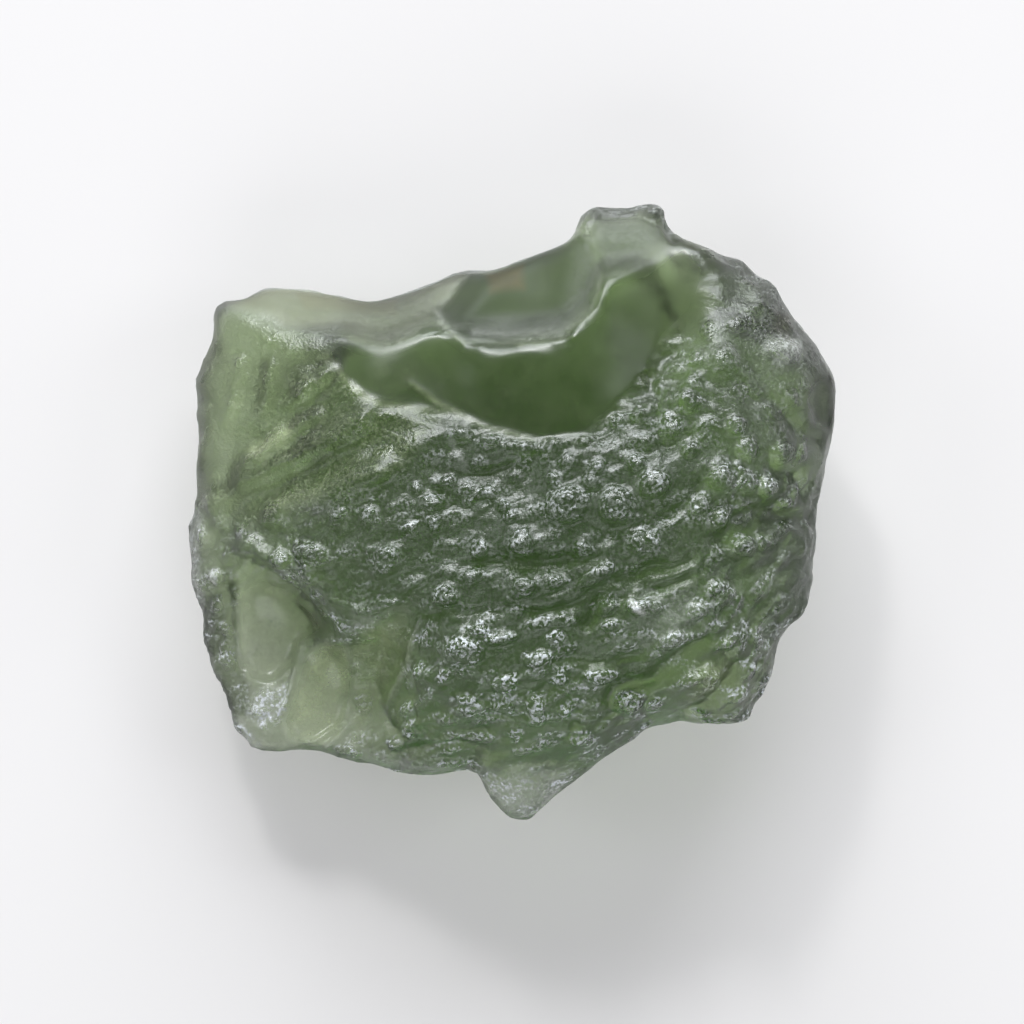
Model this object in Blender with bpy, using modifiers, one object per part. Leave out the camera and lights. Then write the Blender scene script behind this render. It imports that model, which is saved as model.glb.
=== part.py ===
# A raw piece of moldavite, green natural glass, lying on its back
import math

import bmesh
import bpy
import numpy as np
from mathutils import Vector

MM = 0.001

# Overall size, with +X to the right of the face, +Y to its top and +Z out of it
WIDTH = 18.0 * MM
HEIGHT = 17.2 * MM
THICKNESS = 7.2 * MM

# The faceted solid that comes out at the end
FINE_SPHERE_LEVEL = 7
BREAK_SEGMENTS = 64
BREAK_RINGS = 40
VOXEL = 0.17 * MM
SMOOTH_ROUNDS = 3
MOST_TRIANGLES = 9200
SHARP_ANGLE = math.radians(50)

# Outline seen from the front, anticlockwise, in millimetres from the middle of the box
RIGHT_SIDE = [(8.4, -1.35), (8.5, 0.0), (8.74, 1.43), (9.03, 3.03), (9.0, 3.75)]
RIGHT_SHOULDER = [(8.35, 4.8), (7.6, 5.63), (7.44, 6.1), (7.12, 6.52), (6.81, 6.5), (6.45, 7.0)]
TOP_SLOPE = [(5.25, 7.42), (4.36, 7.82), (4.22, 8.4)]
NUB = [(4.02, 8.62), (3.56, 8.62), (3.3, 8.47), (2.36, 8.52), (1.95, 8.4), (1.76, 8.1)]
TOP_EDGE = [
    (1.46, 7.42), (1.32, 7.28), (1.2, 7.5), (0.81, 7.32), (0.67, 7.15), (0.18, 7.12), (-0.07, 6.92),
    (-0.67, 6.69), (-1.12, 6.8), (-1.68, 6.72), (-2.03, 6.5), (-3.03, 6.1), (-3.75, 5.9),
    (-4.47, 5.98), (-5.77, 6.26), (-6.95, 6.3), (-7.15, 6.21), (-7.48, 5.94),
]
LEFT_SIDE = [
    (-8.1, 5.95), (-8.36, 5.78), (-8.46, 4.74), (-8.98, 3.58), (-8.8, 3.3), (-8.9, 2.73),
    (-8.8, 2.23), (-8.88, 0.6), (-9.05, -0.73), (-9.05, -2.03), (-8.7, -2.66), (-8.75, -3.3),
    (-8.48, -4.32), (-8.02, -5.18), (-7.96, -5.75), (-7.55, -6.4), (-7.15, -6.68),
]
BOTTOM_EDGE = [
    (-6.54, -6.78), (-6.07, -6.66), (-5.3, -6.7), (-4.47, -6.98), (-3.42, -7.16), (-2.75, -7.35),
    (-1.76, -7.32), (-1.15, -7.13), (-1.02, -7.25), (-0.95, -7.55),
]
TIP = [(-0.27, -8.45), (0.12, -8.64), (0.5, -8.58), (0.92, -8.1), (1.45, -7.68), (2.33, -7.03)]
LOWER_RIGHT = [
    (2.91, -6.55), (3.55, -6.15), (3.82, -5.94), (4.57, -5.81), (6.2, -5.9), (6.58, -5.72),
    (6.7, -5.36), (6.98, -5.04), (7.27, -4.32), (7.39, -3.58), (7.64, -3.22), (8.12, -2.93),
    (8.28, -2.44),
]
OUTLINE = (
    RIGHT_SIDE + RIGHT_SHOULDER + TOP_SLOPE + NUB + TOP_EDGE + LEFT_SIDE + BOTTOM_EDGE + TIP + LOWER_RIGHT
)
MIDDLE = (0.0, 0.46)
EVEN_RADIUS = 7.6
OUTLINE_FADE = 3

# Height of the outline's edge above the ground, by direction in degrees
EDGE_HEIGHTS = {
    0: 3.3, 35: 3.3, 55: 2.9, 72: 2.5, 88: 1.9, 100: 1.8, 112: 1.7, 135: 1.7, 146: 2.1, 165: 2.6,
    190: 2.5, 208: 2.1, 232: 1.9, 250: 2.4, 268: 2.3, 285: 2.8, 320: 3.1,
}

# The front is a low dome that leans a little to the left, and the back is a rounder one
FRONT_LEVEL = 6.35
FRONT_SLOPE = (0.075, -0.03)
FRONT_SQUARENESS = 3.4
BACK_DEPTH = 0.45
BACK_SQUARENESS = 2.3
REST_CUT = 0.25 * MM
GROUND_DEPTH = 4.0 * MM

# Knobs, crests and pits die out towards the edge of the outline as this power
RELIEF_FADE = 8

# Broad swells and hollows of the front: x, y, radius, height
FRONT_SWELLS = [
    (1.2, -0.8, 3.2, 0.45), (5.4, 1.6, 2.6, 0.35), (5.6, -3.2, 2.0, 0.3), (-1.2, -3.9, 2.0, 0.35),
    (-4.2, -0.2, 1.8, 0.35), (-7.2, 1.4, 1.9, -0.5), (-6.2, 3.8, 1.8, -0.35), (0.4, -7.6, 1.5, -1.5),
    (7.6, -1.2, 1.4, -0.3), (-6.9, -4.7, 2.7, -2.5), (-3.6, -6.4, 1.6, -0.9), (3.2, 8.0, 1.6, -1.2),
]

# Grooves and crests of the front: path, half width, height
FRONT_CRESTS = [
    ([(-7.4, -0.9), (-6.4, -1.3), (-5.8, -1.7), (-5.1, -2.6)], 0.45, 0.5),
    ([(-8.0, 0.3), (-7.2, 0.9), (-6.5, 1.3)], 0.4, 0.25),
    ([(-5.8, 1.9), (-4.8, 2.4), (-4.1, 2.7)], 0.4, 0.3),
    ([(-6.2, -0.2), (-5.2, 0.4)], 0.45, 0.22),
    ([(-4.3, 0.9), (-3.2, 1.2), (-2.6, 1.7)], 0.4, 0.28),
    ([(-7.4, 2.7), (-6.9, 3.1), (-6.3, 3.8)], 0.35, 0.18),
    ([(6.1, -0.5), (7.0, -0.2), (8.2, 0.0)], 0.38, -0.4),
    ([(2.8, -5.3), (3.0, -4.9), (4.1, -4.3), (5.0, -3.9)], 0.3, -0.45),
    ([(-1.0, -1.45), (0.3, -1.5), (1.5, -1.3)], 0.32, -0.25),
    ([(2.0, -2.8), (3.0, -2.1), (3.9, -1.6)], 0.32, -0.28),
    ([(-0.9, -5.1), (0.0, -4.5), (0.9, -4.0)], 0.35, 0.28),
    ([(4.1, 3.6), (4.4, 2.6), (4.3, 1.9)], 0.28, -0.22),
    ([(-2.7, 0.6), (-1.2, 0.3), (0.2, 0.8), (0.9, 1.5)], 0.35, -0.25),
]

# Larger knobs of the pitted skin: x, y, radius, height
FRONT_KNOBS = [
    (1.5, 0.25, 0.55, 0.32), (2.85, 0.15, 0.5, 0.3), (0.2, -0.8, 0.4, 0.28), (-1.9, -2.3, 0.45, 0.3),
    (-1.4, -3.85, 0.55, 0.3), (-1.2, -5.4, 0.42, 0.3), (-2.4, -3.5, 0.4, 0.22), (2.3, -1.75, 0.5, 0.28),
    (3.4, -2.6, 0.45, 0.35), (0.3, -2.05, 0.35, 0.25), (2.5, -4.55, 0.45, 0.25), (0.65, -5.4, 0.4, 0.3),
    (3.25, -5.3, 0.45, 0.35), (4.35, -3.6, 0.5, 0.25), (5.7, -2.3, 0.55, 0.3), (6.4, -0.85, 0.5, 0.3),
    (5.0, -4.6, 0.5, 0.28), (3.9, 0.8, 0.5, 0.28), (5.9, 4.2, 0.55, 0.35), (7.5, 4.5, 0.55, 0.4),
    (5.75, 0.95, 0.5, 0.28), (7.0, 0.7, 0.45, 0.28), (7.6, 1.6, 0.45, 0.35), (6.25, 2.4, 0.45, 0.3),
    (4.7, 3.1, 0.4, 0.28), (2.85, 2.5, 0.35, 0.25), (-2.4, 0.25, 0.45, 0.25), (-5.6, -1.1, 0.5, 0.25),
    (-3.5, -1.4, 0.5, 0.28), (-6.7, 2.0, 0.45, 0.3), (1.9, -6.3, 0.4, 0.25), (0.1, -6.2, 0.4, 0.2),
    (-3.0, -5.9, 0.4, 0.25), (-5.0, 0.6, 0.4, 0.2), (-8.2, -3.2, 0.4, 0.3),
]

# Relief of the back, which has the same skin: broad swells, furrows, then pits (height upwards)
BACK_SWELLS = [
    (-7.0, 1.5, 2.6, 0.9), (-6.4, -4.6, 2.4, 0.8), (5.0, 3.4, 2.2, -0.3), (4.2, -3.6, 1.8, 0.35),
    (6.9, -0.2, 1.4, 0.45), (1.4, 5.6, 1.8, 0.5), (-3.6, 4.6, 1.6, -0.3), (-0.4, -6.4, 1.6, 0.45),
]
BACK_CRESTS = [
    ([(-6.8, 0.4), (-5.2, 0.0), (-4.2, -0.9)], 0.6, 0.3),
    ([(3.4, 5.6), (4.6, 4.6), (6.2, 4.2)], 0.6, 0.3),
    ([(4.6, -0.6), (6.2, -1.6), (7.4, -1.8)], 0.55, 0.3),
    ([(-3.4, -5.2), (-2.2, -4.2)], 0.6, 0.3),
    ([(-4.4, 3.4), (-2.6, 4.0)], 0.5, 0.28),
]
BACK_PITS = [
    (-5.6, 1.8, 0.7, 0.35), (-7.2, -0.9, 0.6, 0.3), (-5.4, -2.4, 0.75, 0.35), (-3.2, -6.0, 0.6, 0.3),
    (1.2, -6.4, 0.7, 0.35), (3.0, -4.6, 0.8, 0.35), (5.6, -4.0, 0.7, 0.3), (7.0, 1.4, 0.7, 0.35),
    (6.4, 3.2, 0.6, 0.3), (4.8, 1.6, 0.8, 0.25), (3.2, 6.6, 0.7, 0.35), (0.6, 4.6, 0.8, 0.3),
    (-1.8, 5.2, 0.7, 0.3), (-4.8, 5.0, 0.6, 0.3), (-0.8, -4.4, 0.7, 0.25), (5.0, -1.8, 0.6, 0.25),
    (-6.9, 3.0, 0.5, 0.25), (2.2, 3.6, 0.6, 0.25), (-3.4, 2.6, 0.6, 0.25), (6.9, -2.6, 0.5, 0.25),
    (-2.3, 1.0, 0.7, 0.3), (1.9, -0.9, 0.8, 0.35), (-0.9, -1.6, 0.6, 0.2), (1.7, 2.0, 0.6, 0.2),
]

# Shell-shaped breaks: name, centre, radii and turn in degrees about X, Y and Z, in millimetres
BREAKS = [
    ("top_left_break", (-4.4, 7.05, 6.0), (5.1, 2.3, 4.1), (0, 0, -2)),
    ("top_shell_break", (0.35, 6.75, 6.9), (2.7, 2.05, 3.9), (0, 0, 8)),
    ("smooth_left_break", (-3.0, 4.1, 9.3), (4.3, 1.95, 4.3), (0, 0, -24)),
    ("smooth_middle_break", (0.4, 4.0, 10.4), (5.2, 2.9, 5.3), (0, 0, -9)),
    ("smooth_right_break", (3.9, 5.5, 9.8), (4.6, 2.7, 5.2), (0, 0, 46)),
    ("nub_break", (3.0, 7.6, 7.4), (1.9, 1.25, 3.6), (0, 0, -8)),
    ("lower_left_window", (-6.6, -3.9, 5.3), (2.0, 2.7, 2.75), (0, 0, 22)),
    ("lower_left_bowl", (-4.7, -5.6, 5.5), (1.9, 2.5, 2.9), (0, 0, -28)),
    ("lower_left_step", (-3.7, -4.2, 7.7), (1.7, 2.6, 3.0), (0, 0, -24)),
    ("right_rim_break", (9.1, 3.05, 5.6), (1.0, 1.3, 1.7), (0, 0, -12)),
    ("back_chip", (-6.6, 4.7, -1.9), (3.0, 3.2, 3.4), (0, 0, 30)),
    ("back_flake", (7.0, -4.6, -1.9), (2.9, 3.0, 3.7), (0, 0, 20)),
]

GLASS_GREEN = (0.16, 0.27, 0.09, 1.0)
GLASS_ROUGHNESS = 0.22
GLASS_IOR = 1.49
GLASS_CLEARNESS = 0.85


def clear_scene():
    for old in list(bpy.data.objects):
        bpy.data.objects.remove(old, do_unlink=True)


def new_collection(name):
    made = bpy.data.collections.new(name)
    bpy.context.scene.collection.children.link(made)
    return made


def moldavite_glass():
    glass = bpy.data.materials.new("moldavite_glass")
    glass.use_nodes = True
    shader = glass.node_tree.nodes["Principled BSDF"]
    shader.inputs["Base Color"].default_value = GLASS_GREEN
    shader.inputs["Roughness"].default_value = GLASS_ROUGHNESS
    shader.inputs["Metallic"].default_value = 0.0
    shader.inputs["IOR"].default_value = GLASS_IOR
    shader.inputs["Transmission Weight"].default_value = GLASS_CLEARNESS
    return glass


def swells(x, y, places):
    total = np.zeros_like(x)
    for place_x, place_y, radius, height in places:
        away = ((x - place_x) ** 2 + (y - place_y) ** 2) / radius**2
        total += height * np.exp(-away)
    return total


def distance_to_path(x, y, path):
    nearest = np.full_like(x, np.inf)
    for (x0, y0), (x1, y1) in zip(path, path[1:]):
        along_x = x1 - x0
        along_y = y1 - y0
        share = ((x - x0) * along_x + (y - y0) * along_y) / (along_x**2 + along_y**2)
        share = np.clip(share, 0.0, 1.0)
        away = np.hypot(x - x0 - share * along_x, y - y0 - share * along_y)
        nearest = np.minimum(nearest, away)
    return nearest


def crests(x, y, paths):
    total = np.zeros_like(x)
    for path, half_width, height in paths:
        away = distance_to_path(x, y, path)
        total += height * np.exp(-((away / half_width) ** 2))
    return total


def outline_radius(turn):
    """Distance from MIDDLE to the outline in each direction, in millimetres."""
    across = np.array([x - MIDDLE[0] for x, _ in OUTLINE])
    up = np.array([y - MIDDLE[1] for _, y in OUTLINE])
    return np.interp(turn, np.arctan2(up, across), np.hypot(across, up), period=2 * math.pi)


def edge_height(turn):
    angles = np.radians(list(EDGE_HEIGHTS))
    return np.interp(turn, angles, list(EDGE_HEIGHTS.values()), period=2 * math.pi)


def front_height(x, y, out, edge):
    broad = FRONT_LEVEL + FRONT_SLOPE[0] * x + FRONT_SLOPE[1] * y + swells(x, y, FRONT_SWELLS)
    fine = crests(x, y, FRONT_CRESTS) + swells(x, y, FRONT_KNOBS)
    return edge + (broad - edge) * np.sqrt(1.0 - out**FRONT_SQUARENESS) + fine * (1.0 - out**RELIEF_FADE)


def back_height(x, y, out, edge):
    broad = BACK_DEPTH * (out - 1.0) + swells(x, y, BACK_SWELLS) * out
    fine = swells(x, y, BACK_PITS) - crests(x, y, BACK_CRESTS)
    return edge + (broad - edge) * np.sqrt(1.0 - out**BACK_SQUARENESS) + fine * (1.0 - out**RELIEF_FADE)


def stone_points(directions):
    """Points of the whole stone, in millimetres, for unit directions from its middle."""
    turn = np.arctan2(directions[:, 1], directions[:, 0])
    out = np.clip(np.hypot(directions[:, 0], directions[:, 1]), 0.0, 1.0)
    # The outline's small steps fade towards the middle, so that they don't run inwards as flutes
    reach = out * (EVEN_RADIUS + (outline_radius(turn) - EVEN_RADIUS) * out**OUTLINE_FADE)
    x = MIDDLE[0] + reach * np.cos(turn)
    y = MIDDLE[1] + reach * np.sin(turn)
    edge = edge_height(turn)
    faces_up = directions[:, 2] >= 0.0
    z = np.where(faces_up, front_height(x, y, out, edge), back_height(x, y, out, edge))
    return np.column_stack([x, y, z])


def stone_body(collection):
    """The unbroken stone: a fine sphere drawn out to the outline, with its relief."""
    sphere = bmesh.new()
    bmesh.ops.create_icosphere(sphere, subdivisions=FINE_SPHERE_LEVEL, radius=1.0)
    directions = np.array([vertex.co for vertex in sphere.verts])
    points = stone_points(directions) * MM
    for vertex, point in zip(sphere.verts, points):
        vertex.co = Vector(point)
    mesh = bpy.data.meshes.new("moldavite")
    sphere.to_mesh(mesh)
    sphere.free()
    body = bpy.data.objects.new("moldavite", mesh)
    collection.objects.link(body)
    return body


def add_cutter(name, shape, collection):
    mesh = bpy.data.meshes.new(name)
    shape.to_mesh(mesh)
    shape.free()
    cutter = bpy.data.objects.new(name, mesh)
    cutter.hide_render = True
    cutter.display_type = "WIRE"
    collection.objects.link(cutter)
    return cutter


def break_cutter(name, centre, radii, turns, collection):
    shell = bmesh.new()
    bmesh.ops.create_uvsphere(shell, u_segments=BREAK_SEGMENTS, v_segments=BREAK_RINGS, radius=1.0)
    cutter = add_cutter(name, shell, collection)
    cutter.location = Vector(centre) * MM
    cutter.scale = Vector(radii) * MM
    cutter.rotation_euler = [math.radians(turn) for turn in turns]
    return cutter


def cut(body, cutter):
    boolean = body.modifiers.new(cutter.name, "BOOLEAN")
    boolean.operation = "DIFFERENCE"
    boolean.solver = "EXACT"
    boolean.object = cutter


def settle_mesh(body):
    """Turn the body's modifiers into its own mesh."""
    graph = bpy.context.evaluated_depsgraph_get()
    settled = bpy.data.meshes.new_from_object(body.evaluated_get(graph))
    body.modifiers.clear()
    old = body.data
    body.data = settled
    bpy.data.meshes.remove(old)


def soften_and_facet(body):
    """Even out the surface as weathering does, then keep only the facets that the shape needs."""
    remesh = body.modifiers.new("even_grain", "REMESH")
    remesh.mode = "VOXEL"
    remesh.voxel_size = VOXEL
    smooth = body.modifiers.new("weathering", "SMOOTH")
    smooth.factor = 0.5
    smooth.iterations = SMOOTH_ROUNDS
    settle_mesh(body)
    body.data.calc_loop_triangles()
    facets = body.modifiers.new("facets", "DECIMATE")
    facets.ratio = MOST_TRIANGLES / len(body.data.loop_triangles)
    facets.use_collapse_triangulate = True
    settle_mesh(body)


def fit_to_size(body):
    """Bring the box of the stone to its driving size, centred, with its rest cut below the ground."""
    points = np.array([vertex.co for vertex in body.data.vertices])
    low = points.min(axis=0)
    high = points.max(axis=0)
    target_low = np.array([-WIDTH / 2, -HEIGHT / 2, -REST_CUT])
    target_high = np.array([WIDTH / 2, HEIGHT / 2, THICKNESS])
    fitted = target_low + (points - low) * (target_high - target_low) / (high - low)
    for vertex, point in zip(body.data.vertices, fitted):
        vertex.co = Vector(point)


def flatten_rest(body, collection):
    """Cut the lowest part of the back level, so that the stone lies on a small flat spot."""
    block = bmesh.new()
    bmesh.ops.create_cube(block, size=1.0)
    ground = add_cutter("ground", block, collection)
    ground.scale = (2 * WIDTH, 2 * HEIGHT, GROUND_DEPTH)
    ground.location = (0.0, 0.0, -GROUND_DEPTH / 2)
    cut(body, ground)


def main():
    clear_scene()
    stone = new_collection("moldavite_stone")
    cutters = new_collection("cutters")
    cutters.hide_render = True
    body = stone_body(stone)
    for name, centre, radii, turns in BREAKS:
        cut(body, break_cutter(name, centre, radii, turns, cutters))
    soften_and_facet(body)
    fit_to_size(body)
    flatten_rest(body, cutters)
    body.data.materials.clear()
    body.data.materials.append(moldavite_glass())
    body.data.shade_smooth()
    body.data.set_sharp_from_angle(angle=SHARP_ANGLE)


main()
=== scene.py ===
import math
import random

import bmesh
import bpy
import numpy as np
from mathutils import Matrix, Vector, noise
from mathutils.kdtree import KDTree


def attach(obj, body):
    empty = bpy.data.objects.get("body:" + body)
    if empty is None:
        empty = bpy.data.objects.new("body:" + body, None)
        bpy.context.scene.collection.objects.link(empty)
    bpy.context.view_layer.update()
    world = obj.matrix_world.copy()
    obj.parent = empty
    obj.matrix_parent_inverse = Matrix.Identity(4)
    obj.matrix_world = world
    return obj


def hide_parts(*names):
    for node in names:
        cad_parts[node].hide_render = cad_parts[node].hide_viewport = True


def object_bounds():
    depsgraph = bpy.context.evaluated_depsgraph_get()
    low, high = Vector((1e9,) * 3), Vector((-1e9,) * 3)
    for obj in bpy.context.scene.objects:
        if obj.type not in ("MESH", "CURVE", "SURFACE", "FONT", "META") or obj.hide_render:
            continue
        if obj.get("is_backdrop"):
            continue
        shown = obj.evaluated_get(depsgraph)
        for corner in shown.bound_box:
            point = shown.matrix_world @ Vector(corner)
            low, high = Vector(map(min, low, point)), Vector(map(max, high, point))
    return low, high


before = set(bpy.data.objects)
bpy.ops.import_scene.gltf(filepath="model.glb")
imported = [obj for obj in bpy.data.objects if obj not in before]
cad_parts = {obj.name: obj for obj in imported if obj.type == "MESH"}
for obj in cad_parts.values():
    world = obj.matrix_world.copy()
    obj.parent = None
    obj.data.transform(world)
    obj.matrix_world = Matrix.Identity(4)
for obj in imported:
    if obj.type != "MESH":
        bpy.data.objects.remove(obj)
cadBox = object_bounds()
mm = 0.001
print("frame loaded")


# The stone's mesh: an even fine grain, worked on in millimetres

grain = {
    "voxel": 0.155,        # spacing of the even mesh before the face is refined
    "faceSlope": 0.1,      # faces that look up more than this get twice the points
    "evening": 24,         # rounds of smoothing that melt the facets
    "polishing": 40,       # rounds of smoothing inside the smooth breaks
    "softening": 80,       # rounds that soften the walls between the breaks at the top
    "hollowMelting": 15,   # rounds that soften the walls of the window and the bowl
    "calming": 12,         # rounds that soften the relief of the calm areas
    "crispEdge": 0.12,     # half width of the change from a break to the skin
    "lean": 0.7,           # how far the relief grows straight up instead of along the slope
    "restLevel": 0.03,     # points under this stay on the flat rest spot
}


def evenMesh(source):
    body = bmesh.new()
    body.from_mesh(source.data)
    bmesh.ops.scale(body, vec=(1 / mm, 1 / mm, 1 / mm), verts=body.verts)
    bmesh.ops.remove_doubles(body, verts=body.verts, dist=1e-3)
    mesh = bpy.data.meshes.new("moldaviteGlass")
    body.to_mesh(mesh)
    body.free()
    stone = bpy.data.objects.new("moldaviteGlass", mesh)
    bpy.context.scene.collection.objects.link(stone)
    remesh = stone.modifiers.new("evenGrain", "REMESH")
    remesh.mode = "VOXEL"
    remesh.voxel_size = grain["voxel"]
    remesh.adaptivity = 0.0
    evaluated = stone.evaluated_get(bpy.context.evaluated_depsgraph_get())
    fine = bpy.data.meshes.new_from_object(evaluated)
    stone.modifiers.clear()
    stone.data = fine
    return stone


def refineFace(stone):
    body = bmesh.new()
    body.from_mesh(stone.data)
    edges = set()
    for face in body.faces:
        if face.normal.z > grain["faceSlope"]:
            edges.update(face.edges)
    bmesh.ops.subdivide_edges(body, edges=list(edges), cuts=1, use_grid_fill=True)
    bmesh.ops.triangulate(body, faces=[face for face in body.faces if len(face.verts) > 4])
    body.to_mesh(stone.data)
    body.free()


def pointsOf(stone):
    flat = np.empty(len(stone.data.vertices) * 3, np.float32)
    stone.data.vertices.foreach_get("co", flat)
    return flat.reshape(-1, 3).astype(float)


def normalsOf(stone, points):
    stone.data.vertices.foreach_set("co", points.astype(np.float32).ravel())
    stone.data.update()
    flat = np.empty(len(points) * 3, np.float32)
    stone.data.vertices.foreach_get("normal", flat)
    return flat.reshape(-1, 3).astype(float)


def edgesOf(stone):
    flat = np.empty(len(stone.data.edges) * 2, np.int32)
    stone.data.edges.foreach_get("vertices", flat)
    return flat.reshape(-1, 2)


def neighbourMeans(points, edges):
    count = len(points)
    first, second = edges[:, 0], edges[:, 1]
    degree = np.bincount(first, minlength=count) + np.bincount(second, minlength=count)
    means = np.empty_like(points)
    for axis in range(3):
        total = np.bincount(first, points[second, axis], count)
        total += np.bincount(second, points[first, axis], count)
        means[:, axis] = total / degree
    return means


def smoothed(points, edges, rounds, share, pullIn=0.55, pushBack=-0.56):
    # every second round pushes back a little, so the form keeps its size
    for turn in range(rounds):
        pull = pullIn if turn % 2 == 0 else pushBack
        points = points + pull * share[:, None] * (neighbourMeans(points, edges) - points)
    return points


def melted(points, edges, rounds, share, pull=0.5):
    # plain smoothing, which rounds off steps and walls
    for _ in range(rounds):
        points = points + pull * share[:, None] * (neighbourMeans(points, edges) - points)
    return points


# Plan shapes on the face, in millimetres from the middle of the box

smoothAreas = {
    "topLeftBreak": [(-8.47, 5.93), (-7.65, 5.77), (-6.68, 5.46), (-6.32, 5.16), (-5.3, 5.1),
        (-4.88, 5.16), (-4.19, 4.8), (-3.64, 4.69), (-3.08, 4.88), (-2.26, 5.35), (-1.76, 5.9),
        (-1.26, 6.73), (-1.43, 7.51), (-3.64, 6.68), (-5.85, 6.68), (-7.51, 6.9)],
    "topShell": [(-1.26, 6.73), (-1.76, 5.9), (-2.06, 5.6), (-1.84, 5.24), (-1.29, 4.8), (-0.04, 4.8),
        (1.34, 5.07), (2.17, 5.71), (2.44, 6.68), (2.17, 7.65), (0.78, 7.92), (-0.87, 7.51)],
    "smoothBreak": [(-5.24, 4.47), (-4.6, 3.64), (-4.05, 3.17), (-3.5, 3), (-1.84, 2.75),
        (-0.87, 2.39), (0.51, 2.03), (1.89, 2.09), (2.72, 2.75), (3.55, 3.5), (4.32, 4.74),
        (5.21, 5.35), (5.54, 6.26), (5.65, 6.9), (4.93, 7.65), (4.1, 7.51), (3.55, 6.9), (2.44, 6.54),
        (2.22, 5.71), (1.34, 4.88), (-0.04, 4.74), (-1.15, 4.69), (-2.26, 5.24), (-3.08, 4.8),
        (-3.64, 4.63), (-4.6, 4.96)],
    "nub": [(2.11, 7.51), (2.33, 8.2), (3.55, 8.28), (4.16, 8), (4.32, 7.51), (3.55, 6.9),
        (2.44, 6.62)],
    "window": [(-7.53, -2.17), (-6.9, -1.84), (-6.13, -2.22), (-5.52, -2.78), (-5.24, -3.22),
        (-5.85, -3.6), (-6.07, -4.21), (-6.68, -4.71), (-7.29, -4.65), (-7.51, -4.1)],
    "bowl": [(-5.85, -4.32), (-5.68, -3.88), (-5.16, -3.58), (-4.6, -3.69), (-4.41, -4.52),
        (-4.52, -5.35), (-4.74, -6.17), (-5.3, -6.45), (-6.13, -6.37), (-6.35, -5.82)],
    "bowlStep": [(-4.52, -3.69), (-3.86, -3.13), (-2.97, -2.58), (-2.75, -3.55), (-2.95, -4.24),
        (-3.36, -5.12), (-4.41, -6.37), (-4.41, -4.93)],
    "rightRim": [(8.05, 3.08), (8.3, 3.64), (8.8, 3.91), (9.22, 3.22), (8.8, 2.26), (8.3, 2.39)],
}


def pathDistance(x, y, path):
    nearest = np.full_like(x, np.inf)
    for (x0, y0), (x1, y1) in zip(path, path[1:]):
        alongX, alongY = x1 - x0, y1 - y0
        share = ((x - x0) * alongX + (y - y0) * alongY) / (alongX**2 + alongY**2)
        share = np.clip(share, 0.0, 1.0)
        nearest = np.minimum(nearest, np.hypot(x - x0 - share * alongX, y - y0 - share * alongY))
    return nearest


def areaDepth(x, y, ring):
    # distance to the ring's border, positive inside it
    closed = ring + ring[:1]
    inside = np.zeros(len(x), bool)
    for (x0, y0), (x1, y1) in zip(closed, closed[1:]):
        if y0 != y1:
            crosses = ((y0 > y) != (y1 > y)) & (x < (x1 - x0) * (y - y0) / (y1 - y0) + x0)
            inside ^= crosses
    return np.where(inside, 1.0, -1.0) * pathDistance(x, y, closed)


def eased(value, low, high):
    share = np.clip((value - low) / (high - low), 0.0, 1.0)
    return share * share * (3.0 - 2.0 * share)


def softLimit(value, limit):
    return limit * np.tanh(value / limit)


def softArea(names, edge):
    deepest = np.full_like(x, -np.inf)
    for name in names:
        deepest = np.maximum(deepest, areaDepth(x, y, smoothAreas[name]))
    return eased(deepest, -edge, edge)


# The large smooth break: one gently curved sheet that spans its own border
sheet = {
    "area": "smoothBreak",
    "levelling": 0.22,     # how much flatter than its border the sheet lies, per millimetre upwards
    "borderBand": 0.15,    # points this near the border give the sheet its height
    "gapReach": 0.3,       # how far round each place of the anchor the gap to the skin is measured
    "blend": (-0.35, 0.1), # the skin turns into the sheet between these depths
    "fade": (0.2, 0.8),    # half width of the change from sheet to skin, at the left and the right
    "fadeSpan": (3.0, 6.0),
    "hem": 0.4,            # width of the softened hem
    "hemRounds": 30,
    # the lower border, where the sheet keeps its height
    "anchor": [(-5.24, 4.47), (-4.6, 3.64), (-4.05, 3.17), (-3.5, 3), (-1.84, 2.75), (-0.87, 2.39),
        (0.51, 2.03), (1.89, 2.09), (2.72, 2.75), (3.55, 3.5), (4.32, 4.74), (5.21, 5.35),
        (5.54, 6.26)],
    "sag": 0.05,
}

stone = evenMesh(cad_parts["moldavite"])
refineFace(stone)
points = pointsOf(stone)
edges = edgesOf(stone)
points = smoothed(points, edges, grain["evening"], np.ones(len(points)))
normals = normalsOf(stone, points)
facing = eased(normals[:, 2], -0.1, 0.35)
x, y = points[:, 0].copy(), points[:, 1].copy()
crispAreas = ["topLeftBreak", "topShell", "nub", "window", "bowl", "rightRim"]
fade = sheet["fade"][0] + (sheet["fade"][1] - sheet["fade"][0]) * eased(x, *sheet["fadeSpan"])
smoothness = np.maximum(softArea(crispAreas, grain["crispEdge"]), softArea([sheet["area"]], fade)) * facing
points = melted(points, edges, grain["polishing"], smoothness)
x, y = points[:, 0].copy(), points[:, 1].copy()
print("even mesh of", len(points), "points")


# Breaks: gently curved sheets, shelves and bowls on the face

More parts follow.
